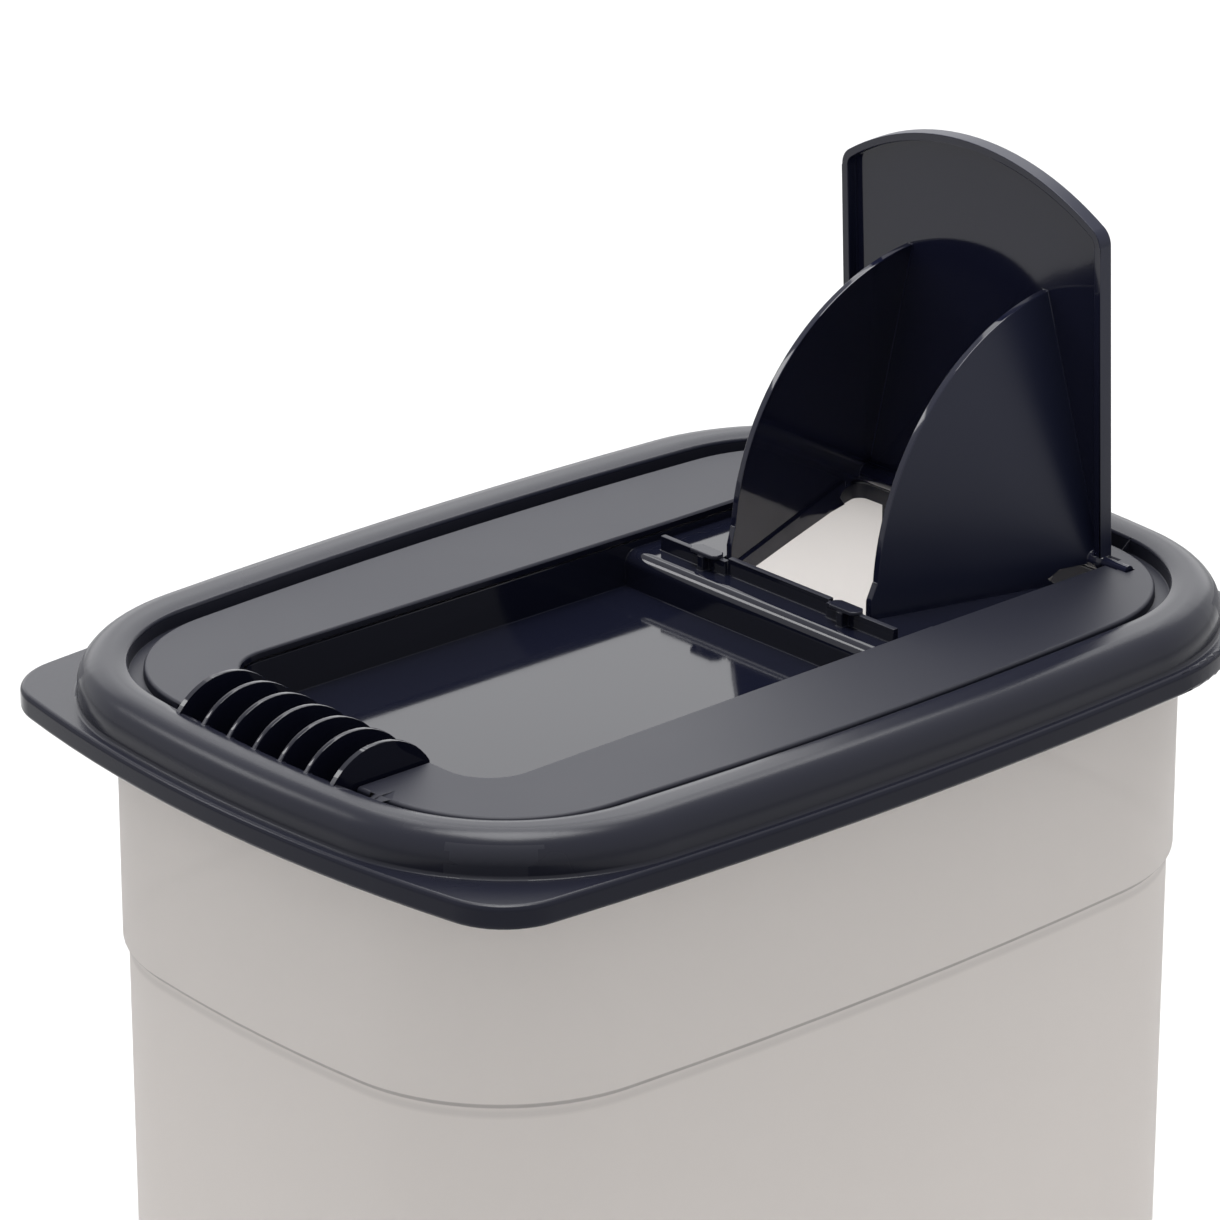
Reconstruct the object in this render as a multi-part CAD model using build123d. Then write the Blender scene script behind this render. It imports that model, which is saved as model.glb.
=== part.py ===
from build123d import *
import os

# Pet food dispenser: a translucent container, its lid, and the pour flap hinged in the lid.
# Millimetres, +Z up. The origin is the centre of the footprint on the table. X runs along the
# long side, with the hinge at the +X end and the finger well at the -X end.

# Outlines: every outline is a rectangle with gently bowed sides and round corners
side_bow = 1200.0
end_bow = 400.0

# Container, drawn in from the lid's rim
container_end_inset = 8.6
container_side_inset = 12.4
container_corner_inset = 10.0
container_wall = 1.9
container_draft = 0.6
base_round = 7.0
foot_width = 16.0
foot_recess = 1.8
floor_thickness = 2.6
ledge_height = 222.0
ledge_step = 1.4
ledge_slope_height = 1.6
mouth_drop = 10.0
mouth_flare = 5.0
mouth_lip = 2.4
mouth_lip_round = 2.2
mouth_lip_thickness = 1.6
mouth_lip_turn = 2.8

# Lid: rim ring
lid_top = 290.0
lid_wall = 2.0
rim_half_length = 130.4
rim_half_width = 92.0
rim_corner = 55.0
rim_outer_round = 6.8
rim_slope_length = 3.6
rim_slope_drop = 0.9
rim_inner_round = 0.9
rim_skirt_depth = 9.8

# Lid: flange under the ring, with squarer corners at the -X end
flange_end_reach = 3.0
flange_side_reach = 2.4
flange_back_corner = 18.0
flange_front_corner = 54.0
flange_height = 5.8
flange_round = 1.3

# Lid: groove between the ring and the raised panel
ring_end_width = 11.4
ring_side_width = 13.4
ring_corner_width = 14.0
groove_width = 3.7
groove_depth = 4.7
panel_drop = 2.2
panel_round = 0.9

# Lid: finger well in the panel
well_back_inset = 37.4
well_half_width = 45.0
well_back_flare = 1.6
well_taper_length = 59.2
well_hinge_gap = 3.2
well_corner = 12.0
well_depth = 15.3
well_edge_chamfer = 0.5

# Lid: grip notch in the -X edge of the well, and its fins
notch_side_gap = 0.95
notch_inset = 0.6
fin_count = 7
fin_pitch = 9.0
fin_thickness = 1.3
fin_back_inset = 9.8
fin_back_drop = 0.9
fin_root_length = 2.0
fin_crest_length = 13.6
fin_crest_rise = 5.9
fin_length = 28.1
fin_front_drop = 2.2

# Lid: deck round the pour opening, cross bar and its two catches
deck_depth = 6.3
deck_length = 8.9
deck_round = 3.4
bar_gap = 0.4
bar_thickness = 1.6
bar_end_gap = 4.8
bar_drop = 2.7
bar_middle_half_length = 17.4
bar_middle_shift = 1.0
bar_middle_rise = 0.6
catch_centre = 24.0
catch_length = 9.5
catch_width = 4.1
catch_overhang = 0.3
catch_drop = 1.7
catch_thickness = 1.0
catch_round = 1.2
post_width = 2.0
post_depth = 1.3
opening_length = 66.0
opening_hinge_gap = 1.4
opening_gap = 1.4
opening_corner = 2.5
collar_wall = 1.6
collar_depth = 4.2
hinge_wall_depth = 9.7
hinge_wall_gap = 0.5

# Hinge
hinge_inset = 26.2
hinge_drop = 2.5
stub_radius = 1.45
stub_length = 8.0
stub_clearance = 0.06
pocket_half_width = 1.9
pocket_length = 4.2
pocket_depth = 3.4
socket_gap = 0.6
socket_wall = 1.5

# Pour flap
flap_side_gap = 1.5
flap_height = 95.7
flap_arc = 77.0
flap_corner = 5.0
flap_thickness = 1.4
flap_offset = 2.6
flap_lean = 2.4
flap_lip_depth = 3.7
flap_lip_wall = 2.0
flap_lip_start = 1.6
flap_edge_round = 0.6
barrel_radius = 2.4

# Cheeks of the flap: thin cones about the hinge, trimmed by one round and ending in a foot
cheek_inset = 2.9
cheek_slope = 0.265
cheek_thickness = 1.8
cheek_trim_radius = 64.0
cheek_trim_shift = 6.4
cheek_skirt_start = 9.5
cheek_skirt_end = 13.5
cheek_root = 1.0
cheek_band_top = 0.9
cheek_band_slope = 0.1
cheek_band_depth = 4.4
cheek_band_thickness = 0.8
cheek_foot = 1.6
cheek_foot_height = 4.3

# Outlines and places that follow from the sizes above
groove_half_length = rim_half_length - ring_end_width
groove_half_width = rim_half_width - ring_side_width
groove_corner = rim_corner - ring_corner_width
well_back = rim_half_length - well_back_inset
hinge_x = rim_half_length - hinge_inset
well_end = hinge_x + well_hinge_gap
well_taper_end = hinge_x - well_taper_length
fin_back = rim_half_length - fin_back_inset
opening_end = hinge_x + opening_hinge_gap
opening_back = opening_end - opening_length
deck_front = opening_back - deck_length
bar_front = opening_back - bar_gap
bar_half_length = well_half_width - bar_end_gap
flap_half_width = well_half_width - flap_side_gap
cheek_half_width = flap_half_width - cheek_inset

# Heights that follow from the sizes above
panel_height = lid_top - panel_drop
deck_height = lid_top - deck_depth
hinge_height = lid_top - hinge_drop
groove_floor = lid_top - groove_depth
flange_top = lid_top - rim_skirt_depth
lid_bottom = flange_top - flange_height
rim_underside = lid_top - lid_wall - 0.4
container_top = rim_underside
plug_gap = 0.4
tub_gap = 0.8
plug_reach = lid_wall + plug_gap
reach = 2 * rim_half_length


def bowed(half_length, half_width, corner, back_corner=None):
    """A rectangle with bowed sides and round corners, the two at -X with their own radius."""
    side = Circle(side_bow)
    end = Circle(end_bow)
    shape = Pos(0, half_width - side_bow) * side & Pos(0, side_bow - half_width) * side
    shape = shape & Pos(half_length - end_bow, 0) * end & Pos(end_bow - half_length, 0) * end
    points = shape.vertices().sort_by(Axis.X)
    if back_corner is None:
        return fillet(points, corner)
    shape = fillet(points[2:], corner)
    return fillet(shape.vertices().sort_by(Axis.X)[:2], back_corner)


def layer(outline, low, high):
    """An outline raised into a solid between two heights."""
    return extrude(Pos(0, 0, low) * outline, amount=high - low)


def stack(levels):
    """Straight walls from each outline to the next, given as (height, outline) pairs."""
    steps = [
        loft([Pos(0, 0, low) * lower, Pos(0, 0, high) * upper], ruled=True)
        for (low, lower), (high, upper) in zip(levels, levels[1:])
    ]
    solid = steps[0]
    for step in steps[1:]:
        solid += step
    return solid


def level_edges(solid, height):
    """The edges that lie in one horizontal plane."""
    return solid.edges().filter_by(
        lambda edge: abs(edge.bounding_box().min.Z - height) < 1e-4
        and abs(edge.bounding_box().max.Z - height) < 1e-4
    )


def side_profile(points, corner, radius, half_width):
    """A closed shape drawn in X and Z, with one corner rounded, spread evenly across Y."""
    shape = make_face(Polyline(*points, close=True))
    shape = fillet(shape.vertices().sort_by_distance((*corner, 0))[0], radius)
    return extrude(Plane.XZ * shape, amount=half_width, both=True)


# Container

def container_body(inset):
    return bowed(
        rim_half_length - container_end_inset - inset,
        rim_half_width - container_side_inset - inset,
        rim_corner - container_corner_inset - inset,
    )


def mouth(inset):
    return bowed(
        groove_half_length + plug_reach + container_wall - inset,
        groove_half_width + plug_reach + container_wall - inset,
        groove_corner + plug_reach + container_wall - inset,
    )


def container_levels(inset, floor):
    """Outlines of the container from the floor up, moved in by a wall thickness."""
    band = container_body(inset - ledge_step)
    mouth_start = container_top - mouth_drop
    return [
        (floor, container_body(inset + container_draft)),
        (ledge_height - ledge_slope_height, container_body(inset)),
        (ledge_height, band),
        (mouth_start, band),
        (mouth_start + mouth_flare, mouth(inset)),
        (container_top, mouth(inset)),
    ]


def make_container():
    outside = stack(container_levels(0, 0))
    outside = fillet(level_edges(outside, 0), base_round)
    floor = foot_recess + floor_thickness
    inside = stack(container_levels(container_wall, floor))
    inside = fillet(level_edges(inside, floor), base_round - container_wall)
    foot = layer(container_body(foot_width), -1, foot_recess)
    foot = fillet(level_edges(foot, foot_recess), foot_recess / 2)
    lip = layer(mouth(-mouth_lip), container_top - mouth_lip_thickness - mouth_lip_turn, container_top)
    lip = fillet(level_edges(lip, container_top), mouth_lip_round)
    lip_inside = mouth(mouth_lip_thickness - mouth_lip)
    under_lip = layer(lip_inside, container_top - 2 * mouth_lip, container_top - mouth_lip_thickness)
    return outside + (lip - under_lip) - inside - foot


# Lid

def rim(inset):
    return bowed(rim_half_length - inset, rim_half_width - inset, rim_corner - inset)


def flange(inset):
    return bowed(
        rim_half_length + flange_end_reach - inset,
        rim_half_width + flange_side_reach - inset,
        flange_front_corner - inset,
        flange_back_corner - inset,
    )


def groove(inset):
    return bowed(groove_half_length - inset, groove_half_width - inset, groove_corner - inset)


def ring_and_panel():
    """The rounded ring with its flange, the groove and the raised panel, still solid below."""
    skirt = layer(rim(0), lid_bottom, lid_top)
    skirt = fillet(level_edges(skirt, lid_top), rim_outer_round)
    edge_height = lid_top - rim_slope_drop
    skirt -= stack([
        (groove_floor, groove(0)),
        (edge_height, groove(0)),
        (lid_top, groove(-rim_slope_length)),
    ])
    skirt = fillet(level_edges(skirt, edge_height), rim_inner_round)
    lip = layer(flange(0), lid_bottom, flange_top)
    lip = fillet(level_edges(lip, flange_top) + level_edges(lip, lid_bottom), flange_round)
    panel = layer(groove(groove_width), groove_floor - 1, panel_height)
    return skirt + lip + fillet(level_edges(panel, panel_height), panel_round)


def well_outline(growth):
    back = -well_back - growth
    end = well_end + growth
    half_width = well_half_width + growth
    back_half_width = half_width + well_back_flare
    shape = make_face(Polyline(
        (back, -back_half_width),
        (well_taper_end, -half_width),
        (end, -half_width),
        (end, half_width),
        (well_taper_end, half_width),
        (back, back_half_width),
        close=True,
    ))
    return fillet(shape.vertices().sort_by(Axis.X)[:2], well_corner + growth)


def well_profile(drop, wall):
    """The length section of the well: floor, riser and deck, lowered by a wall."""
    floor = lid_top - well_depth - drop
    deck_edge = (deck_front + wall, deck_height - drop)
    return side_profile(
        [
            (-reach, floor),
            (deck_front + wall, floor),
            deck_edge,
            (reach, deck_height - drop),
            (reach, lid_top + 1),
            (-reach, lid_top + 1),
        ],
        deck_edge,
        deck_round,
        reach,
    )


def notch_outline(growth):
    """The grip notch in plan: a straight-sided bay that follows the ring's inner edge."""
    fins_width = (fin_count - 1) * fin_pitch + fin_thickness
    bay = Pos(-well_back - well_corner, 0) * Rectangle(
        4 * well_corner, fins_width + 2 * (notch_side_gap + growth)
    )
    return bay & groove(notch_inset - growth * tub_gap)


def opening_outline(growth):
    """The pour opening in plan, its sides a small gap outside the cheeks."""
    def half_width(x):
        return cheek_half_width - cheek_slope * (hinge_x - x) + opening_gap + growth
    back = opening_back - growth
    end = opening_end + growth
    shape = make_face(Polyline(
        (back, -half_width(back)),
        (end, -half_width(end)),
        (end, half_width(end)),
        (back, half_width(back)),
        close=True,
    ))
    return fillet(shape.vertices(), opening_corner + growth)


def collar():
    """The wall that hangs below the deck round the opening, deeper between the cheeks' roots."""
    wall = layer(opening_outline(collar_wall), deck_height - collar_depth, deck_height)
    lowest = deck_height - hinge_wall_depth
    reach_down = hinge_height - lowest
    inside = cheek_half_width - cheek_slope * reach_down - cheek_thickness - cheek_band_thickness
    web = Pos(opening_end + collar_wall / 2, 0, (lowest + deck_height) / 2) * Box(
        collar_wall, 2 * (inside - hinge_wall_gap), hinge_wall_depth
    )
    return wall + web


def on_both_sides(solid):
    return solid + mirror(solid, Plane.XZ)


def socket_block():
    """The material round one hinge pocket and its bearing."""
    inner = well_half_width + lid_wall / 2
    outer = flap_half_width + stub_length + socket_gap + socket_wall
    low = hinge_height - pocket_depth - socket_wall
    half = pocket_half_width + socket_wall
    return Pos(hinge_x, (inner + outer) / 2, (low + panel_height) / 2 - panel_round / 2) * Box(
        2 * half, outer - inner, panel_height - low - panel_round
    )


def socket_space():
    """The open pocket beside the well and the bearing that snaps round the stub."""
    low = hinge_height - pocket_depth
    start = well_half_width - 1
    end = well_half_width + pocket_length
    pocket = Pos(hinge_x, (start + end) / 2, (low + lid_top) / 2) * Box(
        2 * pocket_half_width, end - start, lid_top - low
    )
    bearing_end = flap_half_width + stub_length + socket_gap
    bearing = Pos(hinge_x, (start + bearing_end) / 2, hinge_height) * Rot(X=90) * Cylinder(
        stub_radius + stub_clearance, bearing_end - start
    )
    return pocket + bearing


def fin():
    """One grip fin: a thin upright plate with an arched top."""
    back = (-fin_back, lid_top - fin_back_drop)
    crest = (fin_crest_length - fin_back, lid_top + fin_crest_rise)
    front = (fin_length - fin_back, lid_top - fin_front_drop)
    root = fin_root_length - fin_back
    foot = lid_top - well_depth - lid_wall / 2
    heel = (-fin_back, back[1] - fin_thickness / 2)
    top = TangentArc(crest, back, tangent=(-1, 0)) + TangentArc(crest, front, tangent=(1, 0))
    sides = Polyline(front, (front[0], foot), (root, foot), (root, groove_floor), heel, back)
    return extrude(Plane.XZ * make_face(top + sides), amount=fin_thickness / 2, both=True)


def cross_bar():
    """The rib across the deck in front of the opening, stepped forward in the middle."""
    low = deck_height - lid_wall / 2
    high = lid_top - bar_drop
    centre = bar_front - bar_thickness / 2
    rib = Pos(centre, 0, (low + high) / 2) * Box(bar_thickness, 2 * bar_half_length, high - low)
    top = high + bar_middle_rise
    middle = Pos(centre + bar_middle_shift, 0, (low + top) / 2) * Box(
        bar_thickness, 2 * bar_middle_half_length, top - low
    )
    gap = Pos(centre, 0, (deck_height + top) / 2) * Box(
        2 * bar_thickness, 2 * bar_middle_half_length, top - deck_height
    )
    return rib - gap + middle


def catch():
    """A flat tab on top of the bar, held by a narrow post on the well side."""
    top = lid_top - catch_drop
    size = (catch_width, catch_length, catch_thickness)
    middle = opening_back + catch_overhang - catch_width / 2
    tab = Pos(middle, catch_centre, top - catch_thickness / 2) * Box(*size)
    tab = chamfer(tab.edges().filter_by(Axis.Z), catch_round)
    low = deck_height - lid_wall / 2
    centre = bar_front - bar_thickness - post_depth / 2
    post = Pos(centre, catch_centre, (low + top - catch_thickness) / 2) * Box(
        post_depth + bar_thickness, post_width, top - catch_thickness - low
    )
    return tab + post


def underside():
    """The hollow below the lid: under the ring, the groove, the panel and the flange."""
    low = lid_bottom - well_depth
    ring = layer(rim(lid_wall), low, rim_underside)
    ring = fillet(level_edges(ring, rim_underside), rim_outer_round - lid_wall)
    hollow = ring - layer(groove(-lid_wall), low, lid_top)
    hollow += layer(groove(-lid_wall), low, groove_floor - lid_wall)
    hollow += layer(groove(groove_width + lid_wall), low, panel_height - lid_wall)
    return hollow + layer(flange(lid_wall), low, flange_top - lid_wall)


def make_lid():
    low = lid_top - well_depth - lid_wall
    tub = layer(well_outline(lid_wall) + notch_outline(lid_wall), low, groove_floor)
    tub &= well_profile(lid_wall, lid_wall)
    tub += collar() + on_both_sides(socket_block())
    well = layer(well_outline(0), low, lid_top + 1) & well_profile(0, 0)
    lid = ring_and_panel() - (underside() - tub) + tub
    lid -= well + stack([
        (panel_height - well_edge_chamfer, well_outline(0)),
        (panel_height + well_edge_chamfer, well_outline(2 * well_edge_chamfer)),
    ])
    lid -= layer(notch_outline(0), low, lid_top + 1) & well_profile(0, 0)
    lid -= layer(opening_outline(0), deck_height - 2 * collar_depth, deck_height + 1)
    lid -= on_both_sides(socket_space())
    lid += cross_bar() + on_both_sides(catch())
    for index in range(fin_count):
        lid += Pos(0, (index - (fin_count - 1) / 2) * fin_pitch, 0) * fin()
    return lid


# Pour flap, drawn standing open with the hinge axis through the origin

def flap_outline(inset):
    """The flap seen from the well: straight sides and an arched top. Drawn in Y and height."""
    width = 2 * (flap_half_width - inset)
    shape = Pos(0, flap_height / 2) * Rectangle(width, flap_height)
    shape &= Pos(0, flap_height - flap_arc) * Circle(flap_arc - inset)
    return fillet(shape.vertices().sort_by(Axis.Y)[-2:], flap_corner - inset)


def flap_slab(outline, back, front):
    """A flap outline set upright between two distances from the hinge axis."""
    return extrude(Plane.YZ.offset(back) * outline, amount=front - back)


def leaning(x, height):
    """A point of the upright plate, leant towards the well."""
    return Vector(x, height).rotate(Axis.Z, flap_lean)


def cheek_band(outer):
    """The band along the cheek's lower edge, from near the hinge out, seen along the hinge."""
    end_top = cheek_band_top - cheek_band_slope * outer
    return [
        (-cheek_skirt_start, cheek_band_top),
        (-cheek_skirt_start, -cheek_root),
        (-cheek_skirt_end, cheek_band_top - cheek_band_depth),
        (-outer, end_top - cheek_band_depth),
        (-outer, end_top),
    ]


def cheek_side_view(outer):
    """The cheek seen along the hinge: its round, its foot, and the band that hangs into the opening."""
    tip = cheek_trim_shift - cheek_trim_radius
    shape = Pos(cheek_trim_shift, 0) * Circle(cheek_trim_radius)
    shape += make_face(Polyline(
        (tip - cheek_foot, -outer),
        (tip - cheek_foot, 0),
        (tip, cheek_foot_height),
        (tip + cheek_foot_height, cheek_foot_height),
        (tip + cheek_foot_height, -outer),
        close=True,
    ))
    return shape & make_face(Polyline(
        leaning(flap_offset - flap_thickness / 2, outer),
        leaning(flap_offset - flap_thickness / 2, -cheek_root),
        *cheek_band(outer)[1:4],
        (-outer, outer),
        close=True,
    ))


def cone(outer, thickness):
    """A slice of a cone about the hinge axis, from below the deck to past the plate."""
    inner = barrel_radius / 2
    section = make_face(Polyline(
        (-inner, cheek_half_width - cheek_slope * inner),
        (-outer, cheek_half_width - cheek_slope * outer),
        (-outer, cheek_half_width - cheek_slope * outer - thickness),
        (-inner, cheek_half_width - cheek_slope * inner - thickness),
        close=True,
    ))
    below_level = 50
    past_upright = 15
    return revolve(Rot(Y=-below_level) * section, Axis.Y, below_level + 90 + past_upright)


def cheek():
    """One curved side cheek, trimmed to its side view, with a thicker band along its lower edge."""
    outer = cheek_trim_radius + cheek_trim_shift
    side_view = cheek_side_view(outer)
    band_view = side_view & make_face(Polyline(*cheek_band(outer), close=True))
    reach_across = cheek_half_width + 1
    wall = cone(outer, cheek_thickness) & extrude(Plane.XZ * side_view, amount=reach_across, both=True)
    thick = cone(outer, cheek_thickness + cheek_band_thickness)
    return wall + (thick & extrude(Plane.XZ * band_view, amount=reach_across, both=True))


def make_flap():
    front = flap_offset
    plate = flap_slab(flap_outline(0), front - flap_thickness, front)
    lip = flap_slab(flap_outline(0), front - flap_thickness - flap_lip_depth, front)
    lip -= flap_slab(flap_outline(flap_lip_wall), -flap_height, flap_height)
    lip -= Pos(0, 0, flap_lip_start - flap_height) * Box(
        2 * flap_height, 4 * flap_half_width, 2 * flap_height
    )
    shell = plate + lip
    rounded = shell.faces().sort_by(Axis.X)[-1].outer_wire().edges()
    shell = fillet(rounded.filter_by(lambda edge: edge.center().Z > flap_lip_start), flap_edge_round)
    barrel = Rot(X=90) * Cylinder(barrel_radius, 2 * flap_half_width)
    stubs = Rot(X=90) * Cylinder(stub_radius, 2 * (flap_half_width + stub_length))
    flap = Rot(Y=-flap_lean) * shell + barrel + stubs + on_both_sides(cheek())
    return Pos(hinge_x, 0, hinge_height) * flap


parts = {"container": make_container(), "lid": make_lid(), "pour_flap": make_flap()}
os.makedirs("parts", exist_ok=True)
for name, solid in parts.items():
    solid.label = name
    export_step(solid, "parts/" + name + ".step")
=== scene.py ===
import bpy
import bmesh
import math
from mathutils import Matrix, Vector
from mathutils.bvhtree import BVHTree


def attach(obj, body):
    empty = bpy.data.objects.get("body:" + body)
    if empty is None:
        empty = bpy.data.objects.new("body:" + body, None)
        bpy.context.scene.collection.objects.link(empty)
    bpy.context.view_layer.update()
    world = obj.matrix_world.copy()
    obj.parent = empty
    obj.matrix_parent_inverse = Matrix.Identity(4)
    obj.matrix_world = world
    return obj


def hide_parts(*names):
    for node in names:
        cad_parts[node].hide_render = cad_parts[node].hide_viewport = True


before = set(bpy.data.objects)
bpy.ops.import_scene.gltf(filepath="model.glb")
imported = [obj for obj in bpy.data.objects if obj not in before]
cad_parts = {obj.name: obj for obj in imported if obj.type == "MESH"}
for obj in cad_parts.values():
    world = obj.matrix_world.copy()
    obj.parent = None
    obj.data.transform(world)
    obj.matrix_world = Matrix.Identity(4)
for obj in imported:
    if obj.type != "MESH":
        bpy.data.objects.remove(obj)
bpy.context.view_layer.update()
print("frame loaded")

mm = 0.001


# camera, where the photograph was taken from; the azimuth is measured from looking along +Y

cameraPlace = {
    "lookAt": (-7.7, 7.7, 290),
    "azimuth": -41.79,
    "elevation": 21.98,
    "distance": 1510,
    "lens": 191.8,
    "clipEnd": 20,
}


def addCamera():
    azimuth = math.radians(cameraPlace["azimuth"])
    elevation = math.radians(cameraPlace["elevation"])
    target = Vector(cameraPlace["lookAt"]) * mm
    away = Vector((
        math.sin(azimuth) * math.cos(elevation),
        -math.cos(azimuth) * math.cos(elevation),
        math.sin(elevation),
    ))
    cameraData = bpy.data.cameras.new("photoCamera")
    cameraData.lens = cameraPlace["lens"]
    cameraData.clip_end = cameraPlace["clipEnd"]
    camera = bpy.data.objects.new("photoCamera", cameraData)
    bpy.context.collection.objects.link(camera)
    camera.location = target + away * cameraPlace["distance"] * mm
    camera.rotation_euler = (-away).to_track_quat("-Z", "Y").to_euler()
    bpy.context.scene.camera = camera


addCamera()
print("camera placed")


# helpers for materials

noiseSpan = (0.3, 0.7)  # nearly all values of a noise lie in here
smoothNoise = 0.0


def newMaterial(name):
    material = bpy.data.materials.new(name)
    material.use_nodes = True
    tree = material.node_tree
    tree.nodes.clear()
    output = tree.nodes.new("ShaderNodeOutputMaterial")
    return material, tree, output


def addNode(tree, kind, **values):
    node = tree.nodes.new(kind)
    for key, value in values.items():
        setattr(node, key, value)
    return node


def noiseNode(tree, place, perMetre, detail=2.0):
    noise = addNode(tree, "ShaderNodeTexNoise")
    noise.inputs["Scale"].default_value = perMetre
    noise.inputs["Detail"].default_value = detail
    tree.links.new(place.outputs["Object"], noise.inputs["Vector"])
    return noise


def rangeNode(tree, source, fromMin, fromMax, toMin, toMax):
    spread = addNode(tree, "ShaderNodeMapRange")
    spread.inputs["From Min"].default_value = fromMin
    spread.inputs["From Max"].default_value = fromMax
    spread.inputs["To Min"].default_value = toMin
    spread.inputs["To Max"].default_value = toMax
    tree.links.new(source, spread.inputs["Value"])
    return spread


def bumpNode(tree, height, depth, below=None):
    bump = addNode(tree, "ShaderNodeBump")
    bump.inputs["Strength"].default_value = 1
    bump.inputs["Distance"].default_value = depth * mm
    tree.links.new(height, bump.inputs["Height"])
    if below is not None:
        tree.links.new(below.outputs["Normal"], bump.inputs["Normal"])
    return bump


def mixColours(tree, factor, first, second):
    mix = addNode(tree, "ShaderNodeMix", data_type="RGBA")
    mix.inputs["A"].default_value = first
    mix.inputs["B"].default_value = second
    tree.links.new(factor, mix.inputs["Factor"])
    return mix


# satin lid plastic with a very fine grain; the ring and the flange are smoother than the panel

satinLid = {
    "colour": (0.009, 0.0098, 0.018, 1),
    "paler": (0.013, 0.0138, 0.023, 1),
    "panel": {"roughness": (0.47, 0.52), "shine": 0.30},
    "ring": {"roughness": (0.24, 0.28), "shine": 0.23},
    "flange": {"roughness": (0.10, 0.14), "shine": 0.12},
    "patches": 14,
    "patchDetail": 4.0,
    "swell": 9,
    "swellDepth": 1.2,
    "grain": 2600,
    "grainDepth": 0.010,
}


def satinPlastic(name, finish):
    material, tree, output = newMaterial(name)
    shader = addNode(tree, "ShaderNodeBsdfPrincipled")
    place = addNode(tree, "ShaderNodeTexCoord")
    patches = noiseNode(tree, place, satinLid["patches"], satinLid["patchDetail"])
    sheen = rangeNode(tree, patches.outputs["Fac"], *noiseSpan, *finish["roughness"])
    colour = mixColours(tree, patches.outputs["Fac"], satinLid["colour"], satinLid["paler"])
    hills = noiseNode(tree, place, satinLid["swell"], smoothNoise)
    swell = bumpNode(tree, hills.outputs["Fac"], satinLid["swellDepth"])
    grain = noiseNode(tree, place, satinLid["grain"])
    bump = bumpNode(tree, grain.outputs["Fac"], satinLid["grainDepth"], below=swell)
    shader.inputs["Specular IOR Level"].default_value = finish["shine"]
    tree.links.new(colour.outputs["Result"], shader.inputs["Base Color"])
    tree.links.new(sheen.outputs["Result"], shader.inputs["Roughness"])
    tree.links.new(bump.outputs["Normal"], shader.inputs["Normal"])
    tree.links.new(shader.outputs[0], output.inputs["Surface"])
    return material


# polished plastic of the well, the deck, the bar and the flap: deep blue-black with soft waves

polishedLid = {
    "wellColour": (0.006, 0.0068, 0.0145, 1),
    "plateColour": (0.008, 0.009, 0.022, 1),
    "cheekColour": (0.008, 0.0098, 0.025, 1),
    "roughness": (0.05, 0.09),
    "softerRoughness": (0.34, 0.40),
    "shine": 0.34,
    "patches": 30,
    "patchDetail": 4.0,
    "waves": 28,
    "waveDepth": 0.05,
    "scuffs": 900,
    "scuffDepth": 0.0015,
}


def polishedPlastic(name, colour, roughness):
    material, tree, output = newMaterial(name)
    shader = addNode(tree, "ShaderNodeBsdfPrincipled")
    shader.inputs["Base Color"].default_value = colour
    shader.inputs["Specular IOR Level"].default_value = polishedLid["shine"]
    place = addNode(tree, "ShaderNodeTexCoord")
    patches = noiseNode(tree, place, polishedLid["patches"], polishedLid["patchDetail"])
    sheen = rangeNode(tree, patches.outputs["Fac"], *noiseSpan, *roughness)
    waves = noiseNode(tree, place, polishedLid["waves"], smoothNoise)
    swell = bumpNode(tree, waves.outputs["Fac"], polishedLid["waveDepth"])
    scuffs = noiseNode(tree, place, polishedLid["scuffs"])
    bump = bumpNode(tree, scuffs.outputs["Fac"], polishedLid["scuffDepth"], below=swell)
    tree.links.new(sheen.outputs["Result"], shader.inputs["Roughness"])
    tree.links.new(bump.outputs["Normal"], shader.inputs["Normal"])
    tree.links.new(shader.outputs[0], output.inputs["Surface"])
    return material


# frosted container plastic: milky outside, where it scatters the light, and clearer inside; painted shade
# lines along the ledge

containerFrost = {
    "colour": (0.815, 0.784, 0.762, 1),
    "clouded": (0.780, 0.751, 0.730, 1),
    "clouds": 9,
    "cloudDetail": 3.0,
    "roughness": 0.42,
    # painted shade at the container's ledge: a dark line at the step and a fainter painted shadow just
    # below it
    "ledgeShadeColour": (0.36, 0.345, 0.34, 1),
    "ledgeShadeLines": [(221.3, 0.55, 0.35, 0.75), (219.0, 0.4, 1.0, 0.22)],  # level, half width, fade, strength
    "throughShare": 0.55,
    "clearOutside": 0.06,
    "clearInside": 0.85,
    "grain": 1500,
    "grainDepth": 0.01,
}


# strength along one level of the object, fading out above and below it
def levelLine(tree, height, centre, halfWidth, fade, strength):
    away = addNode(tree, "ShaderNodeMath", operation="SUBTRACT")
    away.inputs[1].default_value = centre * mm
    tree.links.new(height, away.inputs[0])
    distance = addNode(tree, "ShaderNodeMath", operation="ABSOLUTE")
    tree.links.new(away.outputs[0], distance.inputs[0])
    return rangeNode(
        tree, distance.outputs[0], halfWidth * mm, (halfWidth + fade) * mm, strength, 0
    ).outputs["Result"]


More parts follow.
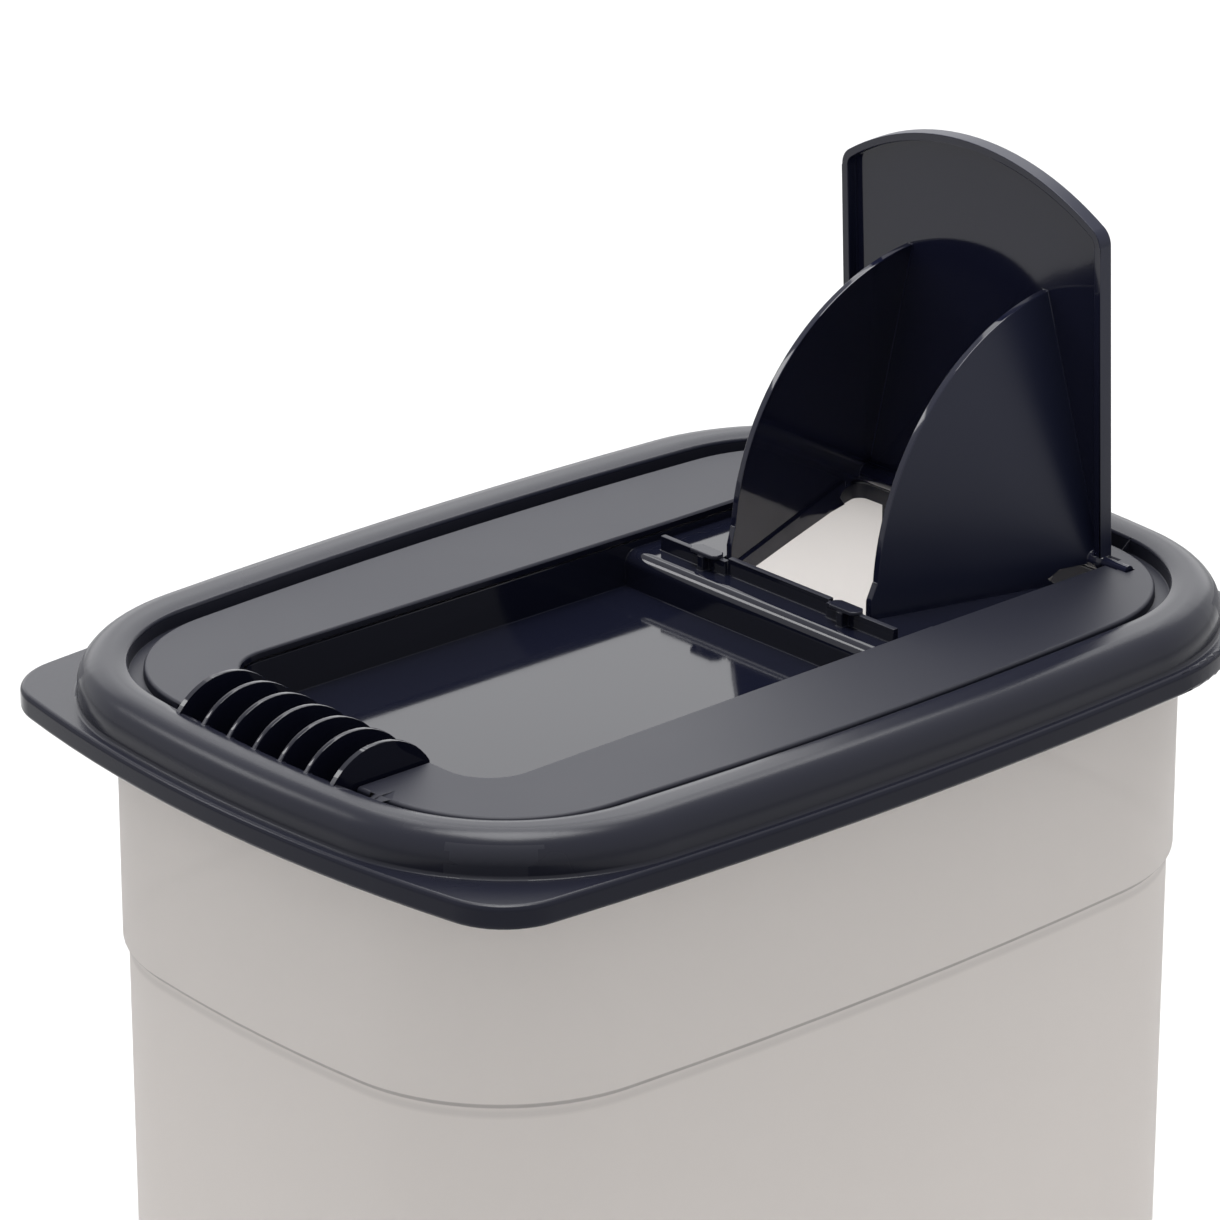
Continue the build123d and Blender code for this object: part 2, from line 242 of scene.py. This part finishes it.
def frostedPlastic(name, clearShare):
    material, tree, output = newMaterial(name)
    place = addNode(tree, "ShaderNodeTexCoord")
    clouds = noiseNode(tree, place, containerFrost["clouds"], containerFrost["cloudDetail"])
    colour = mixColours(
        tree, clouds.outputs["Fac"], containerFrost["colour"], containerFrost["clouded"]
    )
    parts = addNode(tree, "ShaderNodeSeparateXYZ")
    tree.links.new(place.outputs["Object"], parts.inputs[0])
    # painted shade: darkens the colour in a dark line along the ledge and in a fainter painted shadow
    # just below it
    for line in containerFrost["ledgeShadeLines"]:
        plain = colour
        colour = mixColours(
            tree,
            levelLine(tree, parts.outputs["Z"], *line),
            containerFrost["colour"],
            containerFrost["ledgeShadeColour"],
        )
        tree.links.new(plain.outputs["Result"], colour.inputs["A"])
    grain = noiseNode(tree, place, containerFrost["grain"])
    bump = bumpNode(tree, grain.outputs["Fac"], containerFrost["grainDepth"])
    surface = addNode(tree, "ShaderNodeBsdfPrincipled")
    surface.inputs["Roughness"].default_value = containerFrost["roughness"]
    through = addNode(tree, "ShaderNodeBsdfTranslucent")
    milky = addNode(tree, "ShaderNodeMixShader")
    milky.inputs["Fac"].default_value = containerFrost["throughShare"]
    clear = addNode(tree, "ShaderNodeBsdfTransparent")
    blend = addNode(tree, "ShaderNodeMixShader")
    blend.inputs["Fac"].default_value = clearShare
    tree.links.new(colour.outputs["Result"], surface.inputs["Base Color"])
    tree.links.new(bump.outputs["Normal"], surface.inputs["Normal"])
    tree.links.new(colour.outputs["Result"], through.inputs["Color"])
    tree.links.new(surface.outputs[0], milky.inputs[1])
    tree.links.new(through.outputs[0], milky.inputs[2])
    tree.links.new(milky.outputs[0], blend.inputs[1])
    tree.links.new(clear.outputs[0], blend.inputs[2])
    tree.links.new(blend.outputs[0], output.inputs["Surface"])
    return material


# pieces: each is a merged copy of its solid with softened edges, so that corners catch the light

edges = {
    "sharpAngle": 28,
    "softening": 0.26,
    "strayDistance": 0.15,
    "leftSharp": [
        ((-115, 28, 286), (5, 4, 20)),  # corners of the grip notch
        ((104.5, 48, 286), (5, 6, 20)),  # hinge sockets
    ],
    "segments": 2,
    "mergeDistance": 0.002,
    "flatAngle": 0.2,
    "seamTolerance": 0.002,
}


def flatRegion(start, taken):
    level = math.cos(math.radians(edges["flatAngle"]))
    region = {start}
    waiting = [start]
    while waiting:
        for edge in waiting.pop().edges:
            onSeam = all(abs(vert.co.y) < edges["seamTolerance"] * mm for vert in edge.verts)
            if len(edge.link_faces) != 2 or onSeam:
                continue
            for face in edge.link_faces:
                isNew = face not in region and face not in taken
                if isNew and face.normal.dot(start.normal) > level:
                    region.add(face)
                    waiting.append(face)
    return region


# makes one face of each flat region without a hole; the cut along y = 0 opens most holes
def joinFlatFaces(bm):
    bmesh.ops.bisect_plane(
        bm,
        geom=[*bm.verts, *bm.edges, *bm.faces],
        plane_co=(0, 0, 0),
        plane_no=(0, 1, 0),
        dist=edges["seamTolerance"] * mm,
    )
    bm.normal_update()
    taken = set()
    inner = []
    for face in sorted(bm.faces, key=lambda one: -one.calc_area()):
        if face in taken:
            continue
        region = flatRegion(face, taken)
        taken |= region
        corners = {vert for one in region for vert in one.verts}
        borders = {edge for one in region for edge in one.edges}
        if len(region) > 1 and len(corners) - len(borders) + len(region) == 1:
            shared = [edge for edge in borders if not edge.is_boundary]
            inner += [edge for edge in shared if all(one in region for one in edge.link_faces)]
    bmesh.ops.dissolve_limit(
        bm, angle_limit=math.radians(2 * edges["flatAngle"]), verts=[], edges=inner
    )


def staysSharp(edge):
    for place, reach in edges["leftSharp"]:
        for vert in edge.verts:
            x, y, z = vert.co / mm
            away = (x - place[0], abs(y) - place[1], z - place[2])
            if all(abs(part) < limit for part, limit in zip(away, reach)):
                return True
    return False


def softenedCopy(nodeName, shapeFirst=None):
    bm = bmesh.new()
    bm.from_mesh(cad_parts[nodeName].data)
    bmesh.ops.remove_doubles(bm, verts=bm.verts, dist=edges["mergeDistance"] * mm)
    joinFlatFaces(bm)
    if shapeFirst is not None:
        shapeFirst(bm)
    sharp = [
        edge for edge in bm.edges
        if len(edge.link_faces) == 2
        and edge.calc_face_angle(0) > math.radians(edges["sharpAngle"])
        and not staysSharp(edge)
    ]
    surface = BVHTree.FromBMesh(bm)
    bmesh.ops.bevel(
        bm,
        geom=sharp,
        offset=edges["softening"] * mm,
        affect="EDGES",
        segments=edges["segments"],
        profile=0.5,
        material=-1,
        clamp_overlap=False,
    )
    strays = 0
    for vert in bm.verts:
        place, _, _, distance = surface.find_nearest(vert.co)
        if distance > edges["strayDistance"] * mm:
            vert.co = place
            strays += 1
    print(nodeName, "corners drawn back", strays)
    for face in bm.faces:
        face.smooth = True
    return bm


def weighedNormals(piece):
    bpy.context.view_layer.update()
    graph = bpy.context.evaluated_depsgraph_get()
    weighed = piece.evaluated_get(graph).to_mesh()
    normals = [Vector(corner.vector) for corner in weighed.corner_normals]
    piece.evaluated_get(graph).to_mesh_clear()
    return normals


def finishPiece(bm, name, nodeName, body, materials, trueNormal=None):
    mesh = bpy.data.meshes.new(name)
    bm.to_mesh(mesh)
    bm.free()
    mesh.set_sharp_from_angle(angle=math.radians(edges["sharpAngle"]))
    piece = bpy.data.objects.new(name, mesh)
    bpy.context.collection.objects.link(piece)
    for material in materials:
        mesh.materials.append(material)
    weights = piece.modifiers.new("faceWeights", "WEIGHTED_NORMAL")
    weights.keep_sharp = True
    normals = weighedNormals(piece)
    piece.modifiers.remove(weights)
    if trueNormal is not None:
        for polygon in mesh.polygons:
            corners = [mesh.vertices[index].co / mm for index in polygon.vertices]
            found = [trueNormal(corner, polygon.normal) for corner in corners]
            if all(normal is not None for normal in found):
                for loop, normal in zip(polygon.loop_indices, found):
                    normals[loop] = normal
    mesh.normals_split_custom_set(normals)
    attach(piece, body)
    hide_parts(nodeName)


satinPanel = satinPlastic("satinPanel", satinLid["panel"])
satinRing = satinPlastic("satinRing", satinLid["ring"])
satinFlange = satinPlastic("satinFlange", satinLid["flange"])
polishedWell = polishedPlastic("polishedWell", polishedLid["wellColour"], polishedLid["roughness"])
polishedFlap = polishedPlastic("polishedFlap", polishedLid["plateColour"], polishedLid["roughness"])
softFlap = polishedPlastic("softPolishedFlap", polishedLid["cheekColour"], polishedLid["softerRoughness"])
frostedOutside = frostedPlastic("frostedOutside", containerFrost["clearOutside"])
frostedInside = frostedPlastic("frostedInside", containerFrost["clearInside"])


# lid: the ring, groove, panel and skirt are satin; what lies inside the well's outline is polished

panelFinish, ringFinish, flangeFinish, wellFinish = range(4)  # the lid's material slots

lidFinish = {
    "wellHalfWidth": 46.7,
    "wellBack": -93.1,
    "wellEnd": 107.5,
    "panelTop": 287.8,
    "wellEdge": 0.6,
    "notchBack": -118.7,
    "finTips": -90.0,
    "collarTop": 283.3,
    "collarStart": 36.0,
    "notchHalfWidth": 28.7,
    "flangeTop": 280.2,
    "grooveHalfLength": 119.0,
    "grooveHalfWidth": 78.6,
    "levelTolerance": 0.1,
    "facingUp": 0.8,
}

flangeCove = {
    "offset": 1.0,
    "segments": 4,
    "levelTolerance": 0.01,
    "facingUp": 0.9,
    "innerAngle": -1,
}


def isPolished(centre):
    x, y, z = centre / mm
    inWell = (
        lidFinish["wellBack"] < x < lidFinish["wellEnd"]
        and abs(y) < lidFinish["wellHalfWidth"]
        and z < lidFinish["panelTop"] - lidFinish["wellEdge"]
    )
    inNotch = (
        lidFinish["notchBack"] < x < lidFinish["finTips"]
        and abs(y) < lidFinish["notchHalfWidth"]
    )
    return inWell or inNotch


def onFlangeTop(edge):
    heights = [vert.co.z / mm - lidFinish["flangeTop"] for vert in edge.verts]
    return all(abs(height) < flangeCove["levelTolerance"] for height in heights)


# turns the inside corner between the ring's skirt and the flange into a small cove
def roundFlangeCorner(bm):
    corner = [
        edge for edge in bm.edges
        if onFlangeTop(edge)
        and len(edge.link_faces) == 2
        and edge.calc_face_angle_signed(0) < flangeCove["innerAngle"]
        and any(face.normal.z > flangeCove["facingUp"] for face in edge.link_faces)
    ]
    bmesh.ops.bevel(
        bm,
        geom=corner,
        offset=flangeCove["offset"] * mm,
        affect="EDGES",
        segments=flangeCove["segments"],
        profile=0.5,
        material=-1,
        clamp_overlap=False,
    )


def lidSlot(face):
    centre = face.calc_center_median()
    x, y, z = centre / mm
    onCollar = (
        x > lidFinish["collarStart"]
        and z < lidFinish["collarTop"]
        and abs(y) < lidFinish["wellHalfWidth"]
    )
    if onCollar:
        return panelFinish
    if isPolished(centre):
        return wellFinish
    if z < lidFinish["flangeTop"] + lidFinish["levelTolerance"]:
        return ringFinish if face.normal.z > lidFinish["facingUp"] else flangeFinish
    onPanel = (
        abs(x) < lidFinish["grooveHalfLength"]
        and abs(y) < lidFinish["grooveHalfWidth"]
        and z < lidFinish["panelTop"] + lidFinish["levelTolerance"]
    )
    return panelFinish if onPanel else ringFinish


def makeLid():
    bm = softenedCopy("lid", roundFlangeCorner)
    for face in bm.faces:
        face.material_index = lidSlot(face)
    plastics = [satinPanel, satinRing, satinFlange, polishedWell]
    finishPiece(bm, "lidMoulding", "lid", "lid", plastics)


makeLid()
print("lid dressed")


# pour flap: polished inside and softer outside; its cheeks shade as the cones their facets follow

flapCones = {
    "axis": (104.2, 287.5),
    "halfWidth": 40.6,
    "slope": 0.265,
    "depths": (0, 1.8, 2.6),
    "tolerance": 0.06,
    "agreement": 0.97,
}


def coneNormal(corner, facing):
    x = corner.x - flapCones["axis"][0]
    z = corner.z - flapCones["axis"][1]
    fromAxis = math.hypot(x, z)
    depth = flapCones["halfWidth"] - flapCones["slope"] * fromAxis - abs(corner.y)
    if all(abs(depth - wall) > flapCones["tolerance"] for wall in flapCones["depths"]):
        return None
    tilt = flapCones["slope"] / fromAxis
    normal = Vector((tilt * x, math.copysign(1, corner.y), tilt * z)).normalized()
    lean = normal.dot(facing)
    if abs(lean) < flapCones["agreement"]:
        return None
    return normal if lean > 0 else -normal


cheekHem = {
    "start": 9,
    "end": 50,
    "bandTop": 0.9,
    "bandStart": 9.5,
    "bandFall": 7.04,
    "bandLength": 60.9,
    "reach": 0.5,
    "depth": 4.4,
    "drop": 2.4,
    "corner": 14.5,
    "cornerTo": 9.8,
}


# lets the lower edge of each cheek hang a little deeper near the hinge
def lowerHem(bm):
    fall = cheekHem["bandFall"] / cheekHem["bandLength"]
    for vert in bm.verts:
        out = flapCones["axis"][0] - vert.co.x / mm
        level = vert.co.z / mm - flapCones["axis"][1]
        hem = cheekHem["bandTop"] - fall * (out - cheekHem["bandStart"]) - cheekHem["depth"]
        if cheekHem["start"] < out < cheekHem["end"] and abs(level - hem) < cheekHem["reach"]:
            lower = level - cheekHem["drop"] * (1 - out / cheekHem["end"])
            along = cheekHem["cornerTo"] if out < cheekHem["corner"] else out
            widening = flapCones["slope"] * (math.hypot(out, level) - math.hypot(along, lower))
            vert.co.x += (out - along) * mm
            vert.co.y += math.copysign(widening * mm, vert.co.y)
            vert.co.z += (lower - level) * mm


lipTrim = {
    "lean": 2.4,
    "behind": -1.3,
    "forward": 1.1,
    "side": 41.2,
    "top": 72,
    "foot": 1,
    "low": 2.6,
    "barrel": -2.42,
}


# draws the rim round the plate back towards it, so that it stands out less
def trimLip(bm):
    lean = math.radians(lipTrim["lean"])
    for vert in bm.verts:
        out = vert.co.x / mm - flapCones["axis"][0]
        level = vert.co.z / mm - flapCones["axis"][1]
        ahead = out * math.cos(lean) + level * math.sin(lean)
        height = level * math.cos(lean) - out * math.sin(lean)
        onRim = abs(vert.co.y) / mm > lipTrim["side"] or height > lipTrim["top"]
        limit = lipTrim["behind"] if height > lipTrim["low"] else lipTrim["barrel"]
        if onRim and height > lipTrim["foot"] and ahead < limit:
            vert.co.x += lipTrim["forward"] * mm * math.cos(lean)
            vert.co.z += lipTrim["forward"] * mm * math.sin(lean)


def shapeFlap(bm):
    lowerHem(bm)
    trimLip(bm)


flapOutside = {
    "facingBack": 0.5,
    "facingFront": -0.9,
    "facingAside": 0.5,
}


# true on the outer faces of the cheeks, on the plate's back and on its rim
def isOutside(face):
    centre = face.calc_center_median() / mm
    outwards = centre.y * face.normal.y
    height = centre.z - flapCones["axis"][1]
    atRim = abs(centre.y) > lipTrim["side"] or height > lipTrim["top"]
    onRim = atRim and height > lipTrim["low"] and face.normal.x > flapOutside["facingFront"]
    facesAside = outwards > flapOutside["facingAside"] * abs(centre.y)
    onCheek = facesAside and abs(centre.y) < flapCones["halfWidth"]
    return face.normal.x > flapOutside["facingBack"] or onCheek or onRim


def makeFlap():
    bm = softenedCopy("pour_flap", shapeFlap)
    for face in bm.faces:
        if isOutside(face):
            face.material_index = 1
    plastics = [polishedFlap, softFlap]
    finishPiece(bm, "flapMoulding", "pour_flap", "flap", plastics, coneNormal)


makeFlap()
print("flap dressed")


# container: its inner faces are clearer than its outer ones

containerInside = {
    "middle": 140,
    "floorBelow": 12,
    "floorFacing": 0.5,
    "wallAbove": 3,
    "wallBelow": 286,
}


def facesInside(face):
    centre = face.calc_center_median() / mm
    towardsMiddle = Vector((-centre.x, -centre.y, containerInside["middle"] - centre.z))
    lowDown = centre.z < containerInside["floorBelow"]
    onFloor = lowDown and face.normal.z > containerInside["floorFacing"]
    atWall = containerInside["wallAbove"] < centre.z < containerInside["wallBelow"]
    return onFloor or (atWall and face.normal.dot(towardsMiddle) > 0)


def makeContainer():
    bm = softenedCopy("container")
    for face in bm.faces:
        if facesInside(face):
            face.material_index = 1
    plastics = [frostedOutside, frostedInside]
    finishPiece(bm, "containerMoulding", "container", "container", plastics)


makeContainer()
print("container dressed")


# studio: floor, white surroundings and soft lamps; each lamp is its name, place, size, power and aim

studio = {
    "floorSize": 16,
    "floorColour": (0.72, 0.72, 0.72, 1),
    "worldStrength": 0.61,
    "lamps": [
        ("backSoftbox", (1.5, 1.8, 1.3), (3.2, 1.8), 19, (0, 0, 0.3)),
        ("highBackSoftbox", (0.8, 0.9, 2.0), (1.3, 1.0), 13, (0, 0, 0.3)),
        ("topSoftbox", (0.0, 0.1, 2.2), (1.0, 1.0), 36, (0, 0, 0.2)),
        ("sideSoftbox", (-0.85, 1.45, 1.5), (0.4, 0.4), 4, (0, 0, 0.29)),
    ],
}


def addLamp(name, place, size, power, aim):
    lampData = bpy.data.lights.new(name, "AREA")
    lampData.shape = "RECTANGLE"
    lampData.size = size[0]
    lampData.size_y = size[1]
    lampData.energy = power
    lamp = bpy.data.objects.new(name, lampData)
    bpy.context.collection.objects.link(lamp)
    lamp.location = place
    lamp.rotation_euler = (Vector(aim) - Vector(place)).to_track_quat("-Z", "Y").to_euler()
    lamp.visible_camera = False


def addFloor():
    bm = bmesh.new()
    bmesh.ops.create_grid(bm, x_segments=1, y_segments=1, size=studio["floorSize"] / 2)
    mesh = bpy.data.meshes.new("studioFloor")
    bm.to_mesh(mesh)
    bm.free()
    floor = bpy.data.objects.new("studioFloor", mesh)
    bpy.context.collection.objects.link(floor)
    material, tree, output = newMaterial("floorWhite")
    shader = addNode(tree, "ShaderNodeBsdfDiffuse")
    shader.inputs["Color"].default_value = studio["floorColour"]
    tree.links.new(shader.outputs[0], output.inputs["Surface"])
    mesh.materials.append(material)


def addWorld():
    world = bpy.data.worlds.new("studioWorld")
    bpy.context.scene.world = world
    world.use_nodes = True
    tree = world.node_tree
    tree.nodes.clear()
    output = tree.nodes.new("ShaderNodeOutputWorld")
    light = addNode(tree, "ShaderNodeBackground")
    light.inputs["Color"].default_value = (1, 1, 1, 1)
    light.inputs["Strength"].default_value = studio["worldStrength"]
    white = addNode(tree, "ShaderNodeBackground")
    white.inputs["Color"].default_value = (1, 1, 1, 1)
    white.inputs["Strength"].default_value = 1
    path = addNode(tree, "ShaderNodeLightPath")
    seen = path.outputs["Is Camera Ray"]
    for kind in ("Is Glossy Ray", "Is Transmission Ray"):
        either = addNode(tree, "ShaderNodeMath", operation="MAXIMUM")
        tree.links.new(seen, either.inputs[0])
        tree.links.new(path.outputs[kind], either.inputs[1])
        seen = either.outputs[0]
    mix = addNode(tree, "ShaderNodeMixShader")
    tree.links.new(seen, mix.inputs["Fac"])
    tree.links.new(light.outputs[0], mix.inputs[1])
    tree.links.new(white.outputs[0], mix.inputs[2])
    tree.links.new(mix.outputs[0], output.inputs["Surface"])


addFloor()
addWorld()
for lampValues in studio["lamps"]:
    addLamp(*lampValues)
bpy.context.scene.view_settings.view_transform = "Standard"
print("studio ready")
